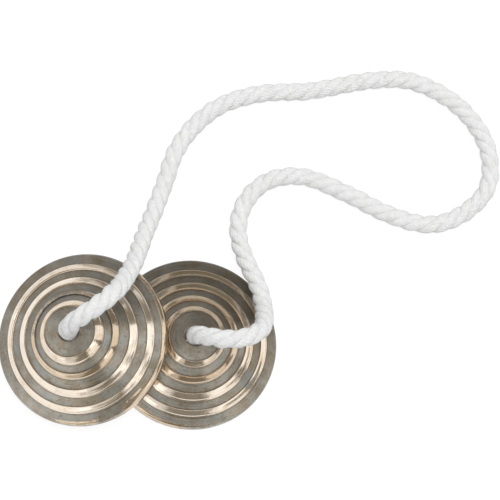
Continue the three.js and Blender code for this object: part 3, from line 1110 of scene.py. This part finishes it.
def studio_world():
    """Even room light with a white backdrop. The camera sees white everywhere. Mirrored and
    refracted rays see it up to a little above the horizon, and a dim warm room over it."""
    world = bpy.data.worlds.new("studio")
    bpy.context.scene.world = world
    world.use_nodes = True
    tree = world.node_tree
    add = node_maker(tree)
    path = add("ShaderNodeLightPath").outputs
    way = add("ShaderNodeSeparateXYZ", {0: add("ShaderNodeTexCoord").outputs["Generated"]})
    low = ramp_value(add, way.outputs[2], *BACKDROP_FADE, 1.0, 0.0)
    mirrored = math_node(add, "MAXIMUM", path["Is Glossy Ray"], path["Is Transmission Ray"])
    white = math_node(add, "MAXIMUM", path["Is Camera Ray"],
                      math_node(add, "MULTIPLY", mirrored, low))
    room = mix_colour(add, mirrored, ROOM_LIGHT, ROOM_MIRRORED)
    background = tree.nodes["Background"]
    tree.links.new(mix_colour(add, white, room, WHITE), background.inputs["Color"])
    background.inputs["Strength"].default_value = 1.0


# Cards that only the metal mirrors: azimuth from +X and elevation in degrees, distance from
# the origin, width and height in metres, and radiance
MIRRORED_CARDS = dict(
    right_tall=(5, 36, 0.77, 0.50, 1.07, 0.88),
    right_near=(27, 77, 0.275, 0.088, 0.061, 1.15),
    front_right=(-46, 25, 0.57, 0.35, 0.39, 0.84),
    front_near=(-72, 66, 0.14, 0.052, 0.056, 0.98),
    front_middle=(-41, 47, 0.35, 0.128, 0.071, 1.05),
    left_wide=(197, 27, 0.18, 0.30, 0.147, 0.82),
    back_left=(138, 35, 0.14, 0.129, 0.15, 0.66),
    front_left=(-114, 36, 0.14, 0.046, 0.124, 0.48),
    back_strip=(101, 57, 0.294, 0.05, 0.74, 0.36),
    back_right=(76, 46, 0.42, 0.15, 0.078, 0.55),
)
OVERHEAD_CARD = dict(place=(0.05, 0.10, 0.45), width=0.16, height=0.16, radiance=0.50)
KEY_LIGHT = dict(place=(0.15, 0.15, 1.4), width=1.3, height=1.3, radiance=2.22)
LAMP_AIM = (0.0, 0.0, 0.01)


def softbox(name, place, width, height, radiance, diffuse=True, glossy=True):
    """Area lamp whose face shows this radiance: its power is radiance x pi x width x height."""
    data = bpy.data.lights.new(name, "AREA")
    data.shape = "RECTANGLE"
    data.size = width
    data.size_y = height
    data.energy = radiance * math.pi * width * height
    lamp = bpy.data.objects.new(name, data)
    bpy.context.scene.collection.objects.link(lamp)
    place = Vector(place)
    turn = (place - Vector(LAMP_AIM)).to_track_quat("Z", "Y")
    lamp.matrix_world = Matrix.Translation(place) @ turn.to_matrix().to_4x4()
    lamp.visible_camera = False
    lamp.visible_diffuse = diffuse
    lamp.visible_glossy = glossy


def around(azimuth, elevation, distance):
    """Place at this azimuth from +X, this elevation and this distance from the origin."""
    azimuth, elevation = math.radians(azimuth), math.radians(elevation)
    return (
        distance * math.cos(elevation) * math.cos(azimuth),
        distance * math.cos(elevation) * math.sin(azimuth),
        distance * math.sin(elevation),
    )


def studio_lamps():
    """Softboxes and cards round the pair that only the metal mirrors, and a broad key light
    overhead that it doesn't."""
    for name, (azimuth, elevation, distance, *face) in MIRRORED_CARDS.items():
        softbox(name, around(azimuth, elevation, distance), *face, diffuse=False)
    softbox("overhead", **OVERHEAD_CARD, diffuse=False)
    softbox("key", **KEY_LIGHT, glossy=False)


# The scene

photograph_camera()

cord_path = smooth_route(cord_points())
cord, cord_line = twisted_cord("cord_rope", cord_path, CORD_DIAMETER, CORD_LAY, CORD_SEED)
knots, knot_hairs = {}, {}
for side, own_frame in (("left", LEFT), ("right", RIGHT)):
    seed = KNOT_SEEDS[side]
    size = (KNOT_CORD_DIAMETER, KNOT_CORD_LAY)
    knot_path = smooth_route(knot_points(own_frame))
    knots[side] = twisted_cord(f"knot_{side}_rope", knot_path, *size, seed)[0]
    knot_hairs[side] = (
        loose_fibres(f"knot_{side}_fibres", knot_path, *size, KNOT_FIBRES, seed + 1),
        frayed_end(f"knot_{side}_tuft", knot_path, KNOT_CORD_DIAMETER, seed + 2),
    )
cymbals = {
    "left": cymbal("cymbal_left_metal", LEFT, FINISH["left"]),
    "right": cymbal("cymbal_right_metal", RIGHT, FINISH["right"]),
}

fibres = loose_fibres(
    "cord_fibres", cord_path, CORD_DIAMETER, CORD_LAY, CORD_FIBRES, CORD_FIBRE_SEED
)

metal, cloth, fluff = bell_metal(), cotton(), cotton_fibres()
for side, piece in cymbals.items():
    piece.data.materials.append(metal)
    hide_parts(f"cymbal_{side}")
    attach(piece, f"{side}_cymbal")
for side, piece in knots.items():
    piece.data.materials.append(cloth)
    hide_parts(f"knot_{side}")
    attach(piece, f"cord_end_{side}")
    for hair in knot_hairs[side]:
        hair.data.materials.append(fluff)
        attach(hair, f"cord_end_{side}")
cord.data.materials.append(cloth)
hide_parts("cord")
fibres.data.materials.append(fluff)
for piece in (cord, fibres):
    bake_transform(piece)

white_floor()
studio_world()
studio_lamps()

scene = bpy.context.scene
scene.view_settings.view_transform = "Standard"
